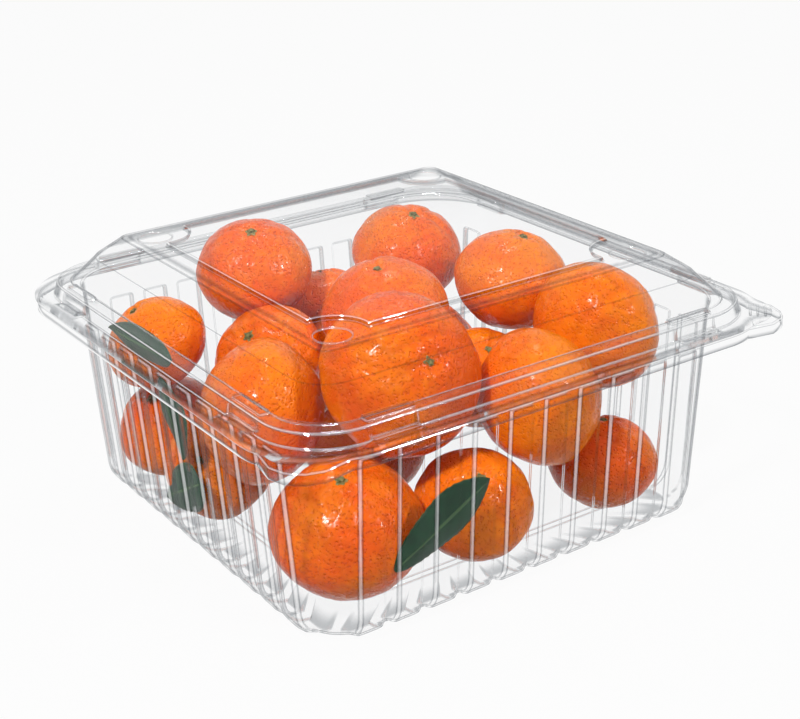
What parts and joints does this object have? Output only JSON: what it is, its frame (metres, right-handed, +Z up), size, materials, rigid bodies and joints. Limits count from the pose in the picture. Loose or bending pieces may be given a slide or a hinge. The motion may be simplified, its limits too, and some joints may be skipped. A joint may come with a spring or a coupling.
{
  "type": "plastic clamshell pack",
  "caption": "Clear hinged plastic clamshell pack with a ribbed tray and a vented domed lid, filled with loose mandarins and leaves.",
  "frame": {"origin": "middle of the pack's footprint, on the surface it stands on", "axes": "+Z up, +Y toward the hinge side, -Y toward the side with the finger tabs"},
  "size_m": [0.19, 0.19, 0.0916],
  "materials": {
    "clear_sheet": "clear thermoformed sheet, glossy",
    "peel": "waxy pitted citrus peel",
    "leaf": "satin citrus leaf"
  },
  "bodies": {
    "pack": {"tray": "clear_sheet", "mandarin_01": "peel", "mandarin_02": "peel", "mandarin_03": "peel", "mandarin_04": "peel", "mandarin_05": "peel", "mandarin_06": "peel", "mandarin_07": "peel", "mandarin_08": "peel", "mandarin_09": "peel", "mandarin_10": "peel", "mandarin_11": "peel", "mandarin_12": "peel", "mandarin_13": "peel", "mandarin_14": "peel", "mandarin_15": "peel", "mandarin_16": "peel", "mandarin_17": "peel", "mandarin_18": "peel", "mandarin_19": "peel", "mandarin_20": "peel", "mandarin_21": "peel", "mandarin_22": "peel", "leaf_01": "leaf", "leaf_02": "leaf", "leaf_03": "leaf", "leaf_04": "leaf"},
    "cover": {"lid": "clear_sheet"}
  },
  "joints": [
    {"name": "lid_hinge", "type": "hinge", "parent": "pack", "child": "cover", "pos_m": [0, 0.0952, 0.07095], "axis": [-1, 0, 0], "range_deg": [0, 178]}
  ]
}
